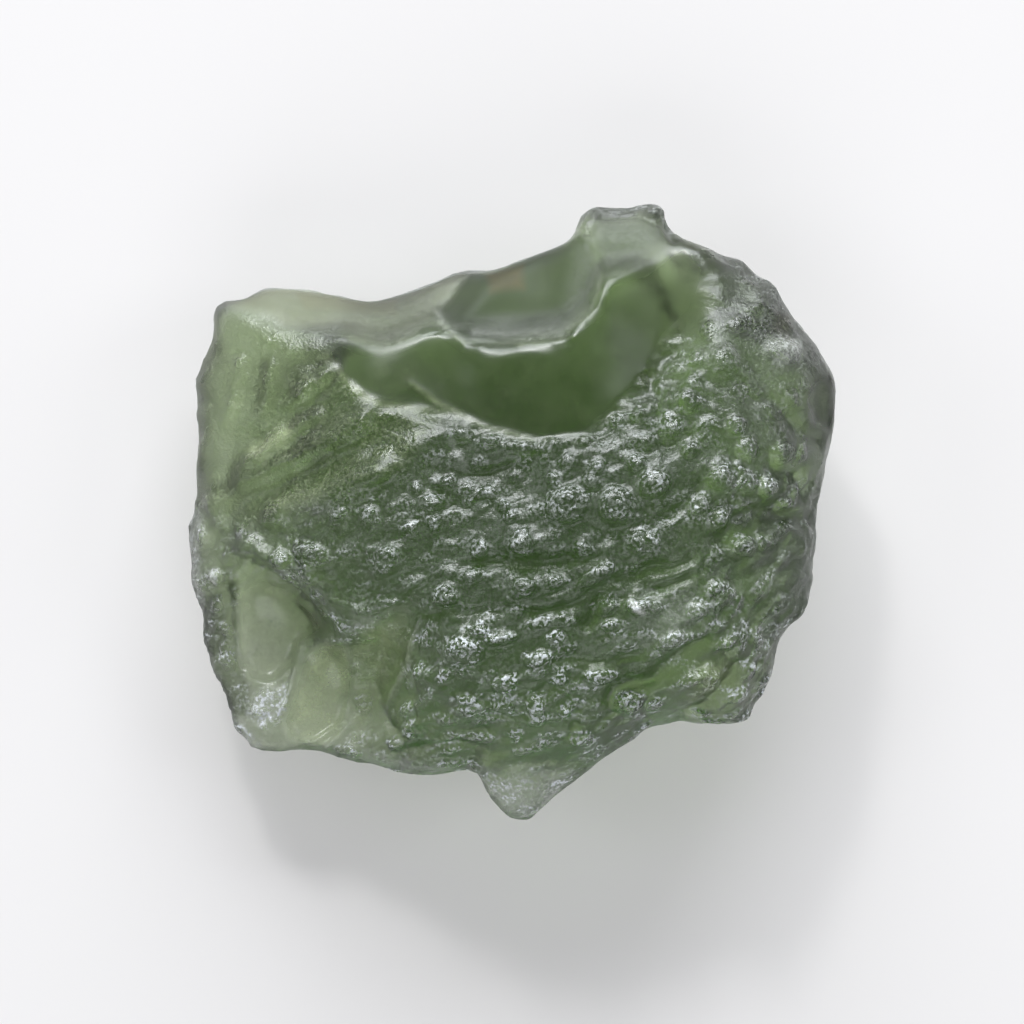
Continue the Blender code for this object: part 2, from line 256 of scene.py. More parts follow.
def spanSheet():
    # a gently curved sheet through the height of the break's own border
    depth = areaDepth(x, y, smoothAreas[sheet["area"]])
    terms = np.stack([np.ones_like(x), x, y, x * y, x * x, y * y], axis=1)
    border = (np.abs(depth) < sheet["borderBand"]) & (facing > 0.9)
    weights, _, _, _ = np.linalg.lstsq(terms[border], points[border, 2], rcond=None)
    anchorX = [px for px, _ in sheet["anchor"]]
    anchor = np.interp(x, anchorX, [py for _, py in sheet["anchor"]])
    height = terms @ weights + sheet["levelling"] * np.maximum(y - anchor, 0.0)
    # what is left between the sheet and the skin along the anchor is closed
    gaps = []
    for px, py in sheet["anchor"]:
        near = (np.hypot(x - px, y - py) < sheet["gapReach"]) & (facing > 0.5)
        gaps.append(np.mean(points[near, 2] - height[near]))
    height += np.interp(x, anchorX, gaps)
    height -= sheet["sag"] * eased(depth, 0.0, 1.0)
    points[:, 2] += eased(depth, *sheet["blend"]) * facing * (height - points[:, 2])
    return eased(-np.abs(depth), -sheet["hem"], 0.0) * facing


hem = spanSheet()
points = melted(points, edges, sheet["hemRounds"], hem)

mostFilling = 0.5          # a floor never lies further than this above the stone
floors = [
    # area, middle, height there, rise per square millimetre across and up, width of the wall
    ("topLeftBreak", (-4.4, 5.8), 3.8, (0.02, 0.15), 0.6),
    ("topShell", (0.2, 6.3), 3.9, (0.2, 0.2), 0.7),
    ("nub", (3.3, 7.5), 4.5, (0.1, 0.1), 0.9),
]
shelves = [
    # area, depth, width of the wall at its border
    ("window", 0.3, 0.2),
    ("bowl", 0.35, 0.3),
    ("bowlStep", 0.12, 0.4),
    ("rightRim", 0.15, 0.2),
]
for name, (middleX, middleY), height, (across, up), wall in floors:
    share = eased(areaDepth(x, y, smoothAreas[name]), 0.0, wall) * facing
    level = height + across * (x - middleX) ** 2 + up * (y - middleY) ** 2
    points[:, 2] += share * (np.minimum(level, points[:, 2] + mostFilling) - points[:, 2])
drop = np.zeros(len(points))
for name, depth, wall in shelves:
    drop += depth * eased(areaDepth(x, y, smoothAreas[name]), 0.0, wall)
points[:, 2] -= drop * facing
topBreaks = softArea(["topLeftBreak", "topShell", "nub", "smoothBreak"], 0.2) * facing
points = melted(points, edges, grain["softening"], topBreaks)
hollows = softArea(["window", "bowl", "bowlStep"], 0.15) * facing
points = melted(points, edges, grain["hollowMelting"], hollows)
satin = softArea(["topLeftBreak", "topShell", "nub"], 0.45) * facing
normals = normalsOf(stone, points)
print("breaks sunk")


# Relief: crests, grooves and knobs of the face, in millimetres

crests = [
    # path, half width, height
    ([(-5.1, 4.41), (-4.6, 3.64), (-4.05, 3.17), (-3.5, 3), (-1.84, 2.75)], 0.14, 0.012),
    ([(-2.78, 3.53), (-2.03, 2.97), (-0.87, 2.42), (0.51, 2.03)], 0.12, 0.02),
    ([(-2.12, 5.6), (-1.9, 5.21), (-1.34, 4.74)], 0.1, 0.02),
    ([(0.15, 4.66), (0.92, 4.69), (1.67, 4.85)], 0.1, 0.015),
    ([(2.44, 8.25), (3.55, 8.28), (4.24, 8), (4.43, 7.59)], 0.12, -0.15),
    ([(-6.43, -5.54), (-6.18, -4.93), (-6.01, -4.32)], 0.07, 0.18),
    ([(-3.44, -5.15), (-3.03, -4.41), (-2.81, -3.58), (-2.59, -3)], 0.08, 0.18),
    ([(-5.52, -6.37), (-4.74, -5.82)], 0.06, 0.14),
    ([(-5.19, -6.53), (-4.27, -5.62)], 0.06, 0.12),
    # ridges of the left side
    ([(-7.51, 1.15), (-6.9, 1.65), (-6.26, 2.14), (-5.52, 2.59)], 0.25, 0.18),
    ([(-8.28, 0.18), (-7.23, 0.87), (-5.85, 1.56), (-4.74, 2.2), (-4.05, 2.67)], 0.22, 0.2),
    ([(-6.9, -0.09), (-5.85, 0.32), (-4.74, 0.74), (-3.64, 1.15)], 0.3, 0.22),
    ([(-6.13, 3.03), (-5.71, 3.5), (-5.07, 3.86)], 0.18, 0.2),
    ([(-7.92, 2.53), (-7.73, 3.22), (-7.51, 4.19)], 0.15, 0.15),
    ([(-6.82, 3.08), (-6.73, 3.91), (-6.9, 4.74)], 0.18, 0.12),
    ([(-7.42, -0.92), (-6.4, -1.5), (-5.71, -2.03), (-5.16, -2.72)], 0.2, 0.25),
    ([(-5.02, -2.44), (-4.05, -2.78), (-3.08, -2.22), (-2.53, -1.84)], 0.12, 0.16),
    # valleys
    ([(-7.23, -1.39), (-6.13, -2.11), (-5.35, -2.78)], 0.18, -0.2),
    ([(-7.84, -2.17), (-7.62, -3.55), (-7.51, -4.24)], 0.15, -0.2),
    ([(-7.09, 1.98), (-5.85, 1.98), (-5.02, 2.42)], 0.2, -0.08),
    ([(-7.78, 0.46), (-6.13, 1.01), (-5.02, 1.56)], 0.25, -0.08),
    ([(-2.53, -2.78), (-1.15, -2.66), (0.51, -2.78), (1.75, -2.44), (2.44, -2.11), (3.55, -1.67),
        (4.93, -1.34)], 0.16, -0.2),
    ([(-0.87, -1.34), (0.78, -1.39), (2.44, -1.23)], 0.2, -0.2),
    ([(-2.26, 1.29), (-1.15, 1.01), (-0.32, 1.15), (0.37, 1.37)], 0.3, -0.22),
    ([(2.03, -3.13), (2.44, -2.44), (3.55, -2.17), (4.93, -1.78)], 0.15, -0.2),
    ([(1.2, -4.02), (2.44, -4.1), (3.55, -3.96)], 0.18, -0.16),
    ([(2.72, -5.26), (2.89, -4.93), (3.55, -4.65), (4.24, -4.32), (4.79, -3.83),
        (5.35, -3.55)], 0.16, -0.28),
    ([(1.61, -4.65), (1.72, -5.76)], 0.2, -0.16),
    ([(4.65, -5.65), (5.35, -5.37), (5.82, -4.93), (6.17, -4.24), (5.9, -3.83)], 0.18, -0.2),
    ([(5.82, -0.56), (6.87, -0.01), (8.3, -0.23)], 0.28, -0.28),
    ([(7.14, 1.15), (7.83, 0.87), (8.39, 0.32)], 0.2, -0.22),
    ([(6.26, 3.5), (6.59, 3.08), (7.14, 3.08), (7.97, 2.26), (8.52, 1.92)], 0.16, -0.2),
    ([(3.83, 3.78), (3.96, 2.81), (4.1, 1.98)], 0.15, -0.14),
    ([(2.44, 1.98), (3.55, 1.65), (4.93, 1.98)], 0.2, -0.14),
    ([(4.1, -0.09), (4.93, 0.18), (5.21, 0.87)], 0.15, -0.14),
    ([(-3.64, -3.55), (-3.86, -5.21), (-3.08, -6.17)], 0.15, -0.14),
    ([(-3.08, -6.59), (-1.7, -6.45), (-0.87, -6.64)], 0.2, -0.16),
]
crestBend = {
    "seed": 7,
    "spacing": 1.3,        # bends per millimetre
    "reach": 0.16,
    "narrowest": 0.14,     # crests up to this half width stay as drawn
}
noise.seed_set(crestBend["seed"])      # without a seed, noise_vector starts from the clock
bend = np.array([noise.noise_vector(Vector(point) * crestBend["spacing"]) for point in points])
bend *= crestBend["reach"]
relief = np.zeros(len(points))
for path, halfWidth, height in crests:
    bent = bend if halfWidth > crestBend["narrowest"] else bend * 0.0
    away = pathDistance(x + bent[:, 0], y + bent[:, 1], path)
    relief += height * np.exp(-((away / halfWidth) ** 2)) * facing

knobs = {
    # x, y, half length, half width, turn in degrees, height
    "middle": [
        (1.5, 0.25, 0.6, 0.5, 20, 0.22), (2.85, 0.2, 0.5, 0.5, 0, 0.22), (0.2, -0.8, 0.3, 0.4, 0, 0.2),
        (-0.05, -0.1, 0.2, 0.2, 0, 0.12), (-0.25, 0.2, 0.2, 0.15, 0, 0.12),
        (1.9, -1.0, 0.25, 0.2, 0, 0.16), (2.3, -1.75, 0.6, 0.22, 35, 0.2),
        (1.2, -1.95, 0.33, 0.2, 15, 0.18), (0.3, -2.05, 0.3, 0.28, 0, 0.2),
        (-1.05, -1.7, 0.33, 0.2, 10, 0.2), (-0.95, -1.0, 0.25, 0.25, 0, 0.2),
        (0.05, -2.7, 0.3, 0.14, 5, 0.14), (1.4, -2.95, 0.33, 0.2, 10, 0.16),
        (2.55, -2.55, 0.4, 0.2, 45, 0.18), (-1.9, -2.3, 0.4, 0.36, 0, 0.22),
    ],
    "upperMiddle": [
        (-1.4, 2.15, 0.3, 0.2, -15, 0.16), (-0.65, 1.9, 0.33, 0.16, -10, 0.16),
        (0.35, 1.75, 0.28, 0.25, 0, 0.18), (1.0, 1.8, 0.28, 0.28, 0, 0.18),
        (1.95, 1.95, 0.18, 0.18, 0, 0.1), (1.5, 1.4, 0.25, 0.25, 0, 0.16),
        (2.3, 1.3, 0.25, 0.22, 0, 0.14), (1.1, 0.9, 0.22, 0.22, 0, 0.12),
        (2.2, 0.85, 0.28, 0.25, 0, 0.18), (-1.25, 0.5, 0.33, 0.3, 10, 0.18),
        (-1.8, 0.85, 0.28, 0.2, 30, 0.14), (-0.7, 0.6, 0.25, 0.2, 0, 0.14),
        (-2.65, 0.7, 0.2, 0.2, 0, 0.14), (-2.2, 0.3, 0.3, 0.28, 0, 0.16),
        (-3.0, 1.95, 0.14, 0.26, -20, 0.14),
    ],
    "left": [
        (-3.5, 2.65, 0.25, 0.12, 0, 0.1), (-4.2, 2.4, 0.28, 0.15, 55, 0.16),
        (-4.95, 2.1, 0.17, 0.17, 0, 0.12), (-3.45, 1.7, 0.33, 0.2, 30, 0.14),
        (-5.75, 3.3, 0.4, 0.18, 60, 0.16), (-6.7, 2.0, 0.5, 0.2, 40, 0.2),
        (-7.0, 1.5, 0.2, 0.2, 0, 0.12), (-7.75, 2.85, 0.3, 0.13, 80, 0.12),
        (-7.55, 4.15, 0.14, 0.14, 0, 0.1), (-6.75, 3.7, 0.4, 0.15, 75, 0.1),
        (-3.9, -0.1, 0.3, 0.3, 0, 0.14), (-4.8, 0.0, 0.33, 0.16, 15, 0.14),
        (-6.6, 0.0, 0.4, 0.3, 25, 0.12), (-5.6, -1.2, 0.6, 0.35, -10, 0.2),
        (-6.4, -1.3, 0.3, 0.25, 0, 0.16), (-5.35, -2.3, 0.28, 0.2, -40, 0.18),
        (-3.5, -1.3, 0.4, 0.35, 60, 0.16), (-3.4, -2.4, 0.45, 0.12, 30, 0.16),
        (-2.15, -0.3, 0.2, 0.2, 0, 0.16), (-2.8, -0.5, 0.22, 0.2, 0, 0.14),
        (-8.25, -1.8, 0.18, 0.22, 0, 0.18), (-8.6, -0.7, 0.18, 0.18, 0, 0.14),
        (-8.15, -2.6, 0.2, 0.22, 0, 0.16), (-7.85, -3.3, 0.18, 0.2, 0, 0.14),
        (-7.6, -2.3, 0.15, 0.15, 0, 0.12), (-7.9, -4.0, 0.2, 0.45, 20, 0.2),
        (-6.9, -5.3, 0.45, 0.3, 35, 0.22),
    ],
    "lower": [
        (-2.4, -3.5, 0.42, 0.2, 30, 0.18), (-1.45, -3.85, 0.55, 0.4, 0, 0.22),
        (-2.65, -4.4, 0.25, 0.22, 0, 0.16), (-1.85, -4.5, 0.22, 0.2, 0, 0.14),
        (-1.2, -5.4, 0.38, 0.33, 10, 0.22), (-2.9, -5.4, 0.28, 0.25, 0, 0.16),
        (-0.25, -4.8, 0.4, 0.28, 35, 0.22), (-0.3, -3.5, 0.42, 0.17, 10, 0.18),
        (-0.95, -3.25, 0.2, 0.15, 0, 0.12), (0.7, -4.05, 0.4, 0.22, 20, 0.2),
        (1.3, -4.6, 0.3, 0.15, -10, 0.18), (2.5, -4.55, 0.5, 0.22, -10, 0.2),
        (0.65, -5.4, 0.25, 0.4, 0, 0.22), (-0.2, -5.4, 0.28, 0.28, 0, 0.18),
        (1.45, -5.5, 0.17, 0.2, 0, 0.12), (1.2, -3.5, 0.3, 0.25, 0, 0.18),
        (3.2, -5.3, 0.4, 0.35, 0, 0.22), (3.9, -5.35, 0.25, 0.25, 0, 0.18),
        (1.9, -6.3, 0.4, 0.22, -15, 0.16), (0.05, -6.2, 0.25, 0.22, 0, 0.14),
        (0.7, -5.8, 0.2, 0.2, 0, 0.12), (-2.9, -6.05, 0.25, 0.2, 0, 0.12),
        (-3.25, -6.4, 0.25, 0.2, 0, 0.12), (6.2, -5.0, 0.35, 0.22, 20, 0.16),
        (6.95, -5.1, 0.3, 0.2, 15, 0.14), (5.6, -5.8, 0.4, 0.18, 10, 0.16),
        (6.5, -5.7, 0.3, 0.16, 0, 0.12), (6.6, -4.4, 0.28, 0.2, 30, 0.14),
        (7.0, -4.6, 0.2, 0.15, 0, 0.12), (5.1, -5.6, 0.3, 0.18, 0, 0.14),
        (-4.6, -6.6, 0.35, 0.16, 10, 0.12), (-4.1, -5.3, 0.25, 0.3, 0, 0.14),
    ],
    "right": [
        (3.35, -2.55, 0.3, 0.2, -60, 0.22), (3.8, -2.6, 0.4, 0.2, 0, 0.16),
        (2.6, -3.1, 0.2, 0.2, 0, 0.12), (4.35, -3.6, 0.48, 0.25, 25, 0.2),
        (5.7, -2.3, 0.5, 0.45, 0, 0.2), (5.05, -2.7, 0.3, 0.25, 0, 0.14),
        (5.85, -3.65, 0.33, 0.17, 0, 0.16), (6.8, -3.55, 0.25, 0.2, 0, 0.16),
        (4.95, -4.6, 0.4, 0.22, 10, 0.16), (5.45, -4.55, 0.3, 0.25, 0, 0.16),
        (3.5, -0.8, 0.4, 0.35, 0, 0.2), (3.85, -0.75, 0.2, 0.2, 0, 0.14),
        (6.4, -0.85, 0.4, 0.33, 0, 0.2), (6.95, -0.85, 0.25, 0.22, 0, 0.16),
        (7.5, 0.2, 0.22, 0.2, 0, 0.16), (5.1, 0.2, 0.28, 0.28, 0, 0.16),
        (5.7, -0.2, 0.45, 0.4, 0, 0.18), (3.9, 0.8, 0.45, 0.4, 0, 0.2), (3.4, 1.4, 0.28, 0.22, 0, 0.16),
        (5.75, 0.95, 0.4, 0.33, 0, 0.2), (6.45, 0.85, 0.33, 0.3, 0, 0.18),
        (7.05, 0.7, 0.33, 0.3, 0, 0.18),
    ],
    "upperRight": [
        (2.85, 2.55, 0.25, 0.25, 0, 0.2), (3.4, 2.7, 0.22, 0.22, 0, 0.16),
        (3.5, 3.6, 0.25, 0.2, 0, 0.16), (4.4, 2.5, 0.33, 0.3, 0, 0.16), (4.9, 3.1, 0.3, 0.33, 0, 0.18),
        (5.95, 4.15, 0.4, 0.5, 0, 0.22), (7.5, 4.5, 0.5, 0.33, -10, 0.24),
        (6.3, 3.3, 0.28, 0.28, 0, 0.18), (6.2, 2.4, 0.3, 0.25, 0, 0.2), (7.3, 2.8, 0.33, 0.28, 0, 0.16),
        (7.7, 3.1, 0.2, 0.25, 0, 0.14), (6.5, 1.8, 0.33, 0.33, 0, 0.18), (7.5, 1.6, 0.4, 0.3, 20, 0.22),
        (8.0, 1.65, 0.2, 0.3, -20, 0.2), (4.9, 1.7, 0.22, 0.22, 0, 0.14),
        (5.35, 5.0, 0.3, 0.3, 0, 0.14), (6.3, 5.2, 0.35, 0.25, 30, 0.14),
        (5.0, 4.2, 0.25, 0.25, 0, 0.14),
    ],
}


def buildTree(places):
    tree = KDTree(len(places))
    for index, place in enumerate(places):
        tree.insert(place, index)
    tree.balance()
    return tree


knobShape = {
    "lobes": 3.0,          # how often the rim of a knob bulges
    "lobeDepth": 0.06,
    "ringTurns": 12.0,
    "crescent": 0.68,      # where on its upper side the painted highlight lies, as a share of its size
    "crescentWidth": 0.24,
    "topHighlight": 0.4,       # painted highlight on the very top
    "topWidth": 0.4,
}


def raiseKnob(total, centre, along, sizes, height, rings, highlightStrength, ringDistance=None):
    # a domed knob with faint rings round its middle and a painted highlight, a crescent of pale frost, on
    # its upper side
    normal = Vector(normals[centre])
    first = (Vector(along) - normal * normal.dot(Vector(along))).normalized()
    second = normal.cross(first)
    middle = points[centre]
    hits = np.array([index for _, index, _ in solidTree.find_range(middle, max(sizes) * 1.05)])
    offset = points[hits] - middle
    across = offset @ np.array(first) / sizes[0]
    up = offset @ np.array(second) / sizes[1]
    lobes = np.sin(np.arctan2(up, across) * knobShape["lobes"] + centre)
    out = np.hypot(across, up) * (1.0 + knobShape["lobeDepth"] * lobes)
    facingSame = normals[hits] @ np.array(normal) > 0.2
    profile = np.clip(1.0 - out**2, 0.0, 1.0)
    profile *= 1.0 + rings * np.cos(out * knobShape["ringTurns"])
    total[hits] += height * profile * facingSame
    upwards = offset[:, 1] / (np.hypot(offset[:, 0], offset[:, 1]) + 1e-6)
    # painted highlight: a crescent of frost where light from the top would catch the knob
    crescentHighlight = np.exp(-(((out - knobShape["crescent"]) / knobShape["crescentWidth"]) ** 2))
    crescentHighlight *= eased(upwards, -0.5, 0.6)
    crescentHighlight += knobShape["topHighlight"] * np.exp(-((out / knobShape["topWidth"]) ** 2))
    paintedHighlights[hits] = np.maximum(paintedHighlights[hits], highlightStrength * crescentHighlight * (profile > 0.0) * facingSame)
    if ringDistance is not None:
        ringDistance[hits] = np.minimum(ringDistance[hits], out * min(sizes))


knobStyle = {
    "seed": 7,
    "wider": 1.15,         # how much wider and higher than listed the knobs are
    "higher": 1.3,
    "rings": 0.04,
    "highlightStrength": 0.75,         # painted highlight of a knob, full at the height below
    "fullHeight": 0.2,
    "limit": 0.22,         # no pile of knobs and beads grows much past this
    # strength of the painted highlights of each group
    "shine": {
        "middle": 0.85, "upperMiddle": 0.7, "left": 0.8,
        "lower": 2.0, "right": 1.0, "upperRight": 0.75,
    },
}
beadStyle = {
    "fewest": 4,
    "perArea": 22,
    "sizes": (0.08, 0.15),
    "places": (0.2, 1.15),  # how far from the knob's middle they sit, as a share of its size
    "upwards": 0.15,
    "stretch": 1.3,
    "height": 0.05,
}
chance = random.Random(knobStyle["seed"])
raised = np.zeros(len(points))
ringDistance = np.full(len(points), 2.0)
# painted highlights of the knobs and beads, drawn as frost
paintedHighlights = np.zeros(len(points))
upward = normals[:, 2] > 0
underground = -99.0
planTree = buildTree([(px, py, 0.0 if up else underground) for (px, py, _), up in zip(points, upward)])
solidTree = buildTree(points)
for name, group in knobs.items():
    shine = knobStyle["shine"][name]
    for px, py, length, width, turn, height in group:
        centre = planTree.find((px, py, 0.0))[1]
        angle = math.radians(turn)
        along = (math.cos(angle), math.sin(angle), 0.0)
        sizes = (length * knobStyle["wider"], width * knobStyle["wider"])
        highlightStrength = knobStyle["highlightStrength"] * shine * min(1.0, height / knobStyle["fullHeight"])
        full = height * knobStyle["higher"]
        raiseKnob(raised, centre, along, sizes, full, knobStyle["rings"], highlightStrength, ringDistance)
        for _ in range(round(beadStyle["fewest"] + beadStyle["perArea"] * length * width)):
            turned, out = chance.uniform(0.0, 2 * math.pi), chance.uniform(*beadStyle["places"])
            beadX = px + length * out * math.cos(turned)
            beadY = py + width * out * (math.sin(turned) + beadStyle["upwards"])
            size = chance.uniform(*beadStyle["sizes"])
            bead = planTree.find((beadX, beadY, 0.0))[1]
            sizes = (size * beadStyle["stretch"], size)
            raiseKnob(raised, bead, along, sizes, beadStyle["height"], 0.0, shine)
knobTop = eased(raised, 0.03, 0.16)
raised = softLimit(raised, knobStyle["limit"])
print("knobs raised")

# Small knobs and pits all over the skin, placed by chance with a fixed seed
skinGrain = {
    "count": 3000,
    "smallest": 0.09,
    "largest": 0.26,
    "height": 0.085,
    "heightShares": (0.5, 1.3),
    "pitDepth": 0.9,        # depth of the pits as a share of the knobs' height
    "stretches": (1.2, 3.0),
    "turn": 22,             # degrees, a little up to the right
    "turnSpread": 25,
    "rise": 0.2,            # upward part of their direction, for those on the sides
    "highlightStrength": 0.6,
    "lowHighlightStrength": 1.2,        # painted highlight below the line, where the photo has more of it
    "lowLine": -3.0,
    "limit": 0.1,
    "sink": 0.06,           # the whole surface goes in this far, so the relief stays in the box
    "calmEdge": 0.5,
}
wrinkleStyle = {
    "direction": (0.92, 0.39),
    "perMm": (0.6, 1.5),    # along and across the direction
    "height": 0.11,
    "gentlePerMm": 0.9,
    "gentleHeight": 0.03,
}
calmAreas = [
    # ring, how much of the relief is missing there
    ([(-8.89, 6.26), (-6.68, 5.85), (-4.88, 5.57), (-4.6, 4.88), (-4.47, 3.5), (-1.43, 2.67),
        (-2.53, 1.7), (-3.91, 0.87), (-7.23, -0.37), (-8.89, 0.32)], 0.5),
    (smoothAreas["bowlStep"], 0.4),
    ([(5.62, 7.23), (6.87, 6.68), (9.08, 4.74), (9.49, 3.08), (9.08, 0.87), (7.69, 1.15),
        (5.76, 3.08), (4.93, 4.74)], 0.4),
]
skin = 1.0 - smoothness
small = np.zeros(len(points))
for _ in range(skinGrain["count"]):
    centre = chance.randrange(len(points))
    size = chance.uniform(skinGrain["smallest"], skinGrain["largest"])
    stretch = chance.uniform(*skinGrain["stretches"])
    angle = math.radians(chance.gauss(skinGrain["turn"], skinGrain["turnSpread"]))
    sign = chance.choice((1.0, -skinGrain["pitDepth"]))
    height = sign * skinGrain["height"] * size / skinGrain["largest"]
    height *= chance.uniform(*skinGrain["heightShares"])
    if skin[centre] < 0.5:
        continue
    along = (math.cos(angle), math.sin(angle), skinGrain["rise"])
    highlightStrength = skinGrain["highlightStrength"] if points[centre, 1] > skinGrain["lowLine"] else skinGrain["lowHighlightStrength"]
    highlightStrength *= max(sign, 0.0) * size / skinGrain["largest"]
    raiseKnob(small, centre, along, (size * stretch, size), height, 0.0, highlightStrength)
knobTop = np.clip(knobTop + eased(small, 0.03, 0.12) * 0.6, 0.0, 1.0) * skin
small = softLimit(small, skinGrain["limit"])
rough = raised * (0.35 + 0.65 * facing) + small
level = np.average(rough, weights=skin * facing + 1e-6)
calm = np.ones(len(points))
for ring, share in calmAreas:
    calm -= share * eased(areaDepth(x, y, ring), -skinGrain["calmEdge"], skinGrain["calmEdge"]) * facing
relief += (rough - level) * skin * calm * (0.4 + 0.6 * facing) - skinGrain["sink"]


def wrinkleAt(px, py, pz):
    alongX, alongY = wrinkleStyle["direction"]
    along = (px * alongX + py * alongY) * wrinkleStyle["perMm"][0]
    across = (py * alongX - px * alongY) * wrinkleStyle["perMm"][1]
    return noise.fractal((along, across, pz), 1.0, 2.0, 4)


wrinkles = np.array([wrinkleAt(*point) for point in points])
relief += wrinkles * wrinkleStyle["height"] * skin * calm * (0.5 + 0.5 * facing)
gentle = np.array([noise.noise(Vector(point) * wrinkleStyle["gentlePerMm"]) for point in points])
relief += gentle * wrinkleStyle["gentleHeight"]

heading = normals.copy()
heading[:, 2] += grain["lean"] * facing
heading /= np.linalg.norm(heading, axis=1)[:, None]
points = points + heading * relief[:, None]
points = melted(points, edges, grain["calming"], (1.0 - calm) * 2.0 * (0.3 + 0.7 * skin))
points[:, 2] = np.where(points[:, 2] < grain["restLevel"], 0.0, points[:, 2])
# the stone stays inside the box of the solid, and on the ground
for axis in range(3):
    low, high = cadBox[0][axis] / mm, cadBox[1][axis] / mm
    least, most = points[:, axis].min(), points[:, axis].max()
    if axis < 2:
        shrink = min(1.0, (high - low) / (most - least))
        points[:, axis] = (points[:, axis] - (least + most) / 2) * shrink + (low + high) / 2
    else:
        points[:, axis] *= min(1.0, high / most)
stone.data.vertices.foreach_set("co", (points * mm).astype(np.float32).ravel())
stone.data.update()
stone.data.shade_smooth()
print("relief done, from", round(relief.min(), 2), "to", round(relief.max(), 2), "mm")


# Finish of the surface, drawn on the face: pale frost with painted highlights and reflections, deep shade,
# leaf green and brown stain

# pale frost, and on the bright facet low on the left a painted reflection
frostAndSheenAreas = [
    # ring, strength, soft border
    (smoothAreas["topLeftBreak"], 0.13, 0.25),
    ([(-5.16, 4.41), (-4.47, 4.6), (-2.53, 4.19), (-2.53, 3.22), (-4.05, 3.31)], 0.06, 0.4),
    (smoothAreas["bowl"], 0.5, 0.3),
    (smoothAreas["smoothBreak"], 0.03, 0.3),
    (smoothAreas["window"], 0.2, 0.2),
    (smoothAreas["bowlStep"], 0.2, 0.3),
    ([(-4.41, -2.94), (-3.36, -2.72), (-3.31, -3.83), (-4.33, -3.96)], 0.3, 0.3),
    ([(-1.15, 5.24), (-0.6, 5.41), (0.51, 5.24), (1.34, 5.52), (1.56, 6.4), (1.75, 7.37),
        (2.22, 7.23), (2.44, 6.26), (2.11, 5.35), (1.34, 4.91), (-0.04, 4.8),
        (-1.01, 4.85)], 0.14, 0.3),
    ([(2.17, 7.51), (2.33, 8.17), (3.27, 8.28), (3.96, 8), (4.1, 7.51), (3.55, 7.06),
        (2.58, 6.9)], 0.14, 0.35),
    ([(-0.87, -7.28), (0.23, -7.14), (1.34, -7.28), (1.89, -7.69), (0.51, -8.8),
        (-0.87, -7.97)], 0.5, 0.4),
    # painted reflection: the bright facet low on the left
    ([(-7.34, -5.21), (-6.82, -4.77), (-6.13, -4.71), (-6.26, -5.54), (-7.01, -5.98)], 0.35, 0.1),
    ([(-7.92, -5.62), (-7.23, -6.17), (-6.95, -6.59), (-7.51, -6.87), (-8.2, -6.04)], 0.35, 0.2),
    ([(7.14, 4.8), (7.97, 4.8), (7.97, 4.19), (7.28, 4.13)], 0.3, 0.2),
    ([(-6.4, 0.32), (-5.3, 0.6), (-5.02, -0.09), (-6.13, -0.37)], 0.18, 0.4),
    ([(3.55, -2.44), (4.93, -2.17), (5.48, -3), (4.65, -3.83), (3.55, -3.83)], 0.16, 0.5),
    ([(5.07, -4.1), (6.17, -4.1), (6.17, -4.93), (4.93, -5.21)], 0.16, 0.3),
]
# pale frost along the ridges, partly standing in for the highlight on their crests, and painted highlights
# drawn as short lines
frostAndHighlightLines = [
    # path, half width, strength
    ([(-5.16, 4.41), (-4.94, 4.11)], 0.16, 0.15),
    ([(-5.1, 4.41), (-4.6, 3.64), (-4.05, 3.17), (-3.5, 3), (-1.84, 2.75)], 0.1, 0.18),
    ([(-2.78, 3.53), (-2.03, 2.97), (-0.87, 2.42), (0.51, 2.03)], 0.08, 0.22),
    ([(-2.12, 5.6), (-1.9, 5.21), (-1.34, 4.74)], 0.1, 0.2),
    ([(-1.01, 5.07), (-0.04, 4.96), (1.06, 5.07), (1.84, 5.35)], 0.14, 0.2),
    ([(0.15, 4.66), (0.92, 4.69), (1.67, 4.85)], 0.07, 0.15),
    ([(1.97, 7.37), (2.31, 6.68), (2.36, 6.13), (2.03, 5.43)], 0.1, 0.15),
    ([(-6.82, 5.49), (-6.26, 5.21), (-4.88, 5.24)], 0.2, 0.18),
    ([(-4.88, 5.24), (-3.5, 4.85), (-2.39, 5.35)], 0.2, 0.15),
    ([(-4.47, 4.88), (-3.5, 4.69), (-2.67, 5.02)], 0.16, 0.15),
    ([(-6.43, -5.54), (-6.18, -4.93), (-6.01, -4.32)], 0.08, 0.5),
    ([(-3.44, -5.15), (-3.03, -4.41), (-2.81, -3.58), (-2.59, -3)], 0.08, 0.35),
    ([(-5.52, -6.37), (-4.74, -5.82)], 0.07, 0.4),
    ([(-5.85, -5.04), (-5.57, -4.32), (-4.88, -3.88)], 0.12, 0.65),
    ([(-5.79, -5.82), (-5.52, -5.04), (-4.96, -4.54)], 0.1, 0.6),
    ([(-6.9, -3.55), (-6.54, -2.72), (-6.73, -2.17)], 0.12, 0.26),
    ([(-7.23, -4.32), (-6.9, -3.55), (-6.26, -3.05)], 0.12, 0.26),
    # painted highlights: the brightest glint, and one by the left rim
    ([(3.24, -2.39), (3.36, -2.61), (3.58, -2.78)], 0.08, 0.9),
    ([(-8.31, -1.67), (-8.23, -1.92)], 0.1, 0.7),
    # painted reflection: streaks of the bright facet low on the left
    ([(-7.29, -5.59), (-6.62, -4.93)], 0.1, 0.5),
    ([(-7.01, -5.82), (-6.24, -5.04)], 0.08, 0.5),
    ([(-5.19, -6.53), (-4.27, -5.62)], 0.07, 0.4),
    ([(-7.09, 1.65), (-6.26, 2.14)], 0.22, 0.4),
    ([(-8.75, -0.09), (-8.89, -1.34), (-8.72, -2.44)], 0.2, 0.3),
    ([(-4.05, -6.81), (-1.98, -7.2)], 0.2, 0.25),
    ([(-1.7, 1.98), (-1.37, 1.37)], 0.06, 0.3),
]
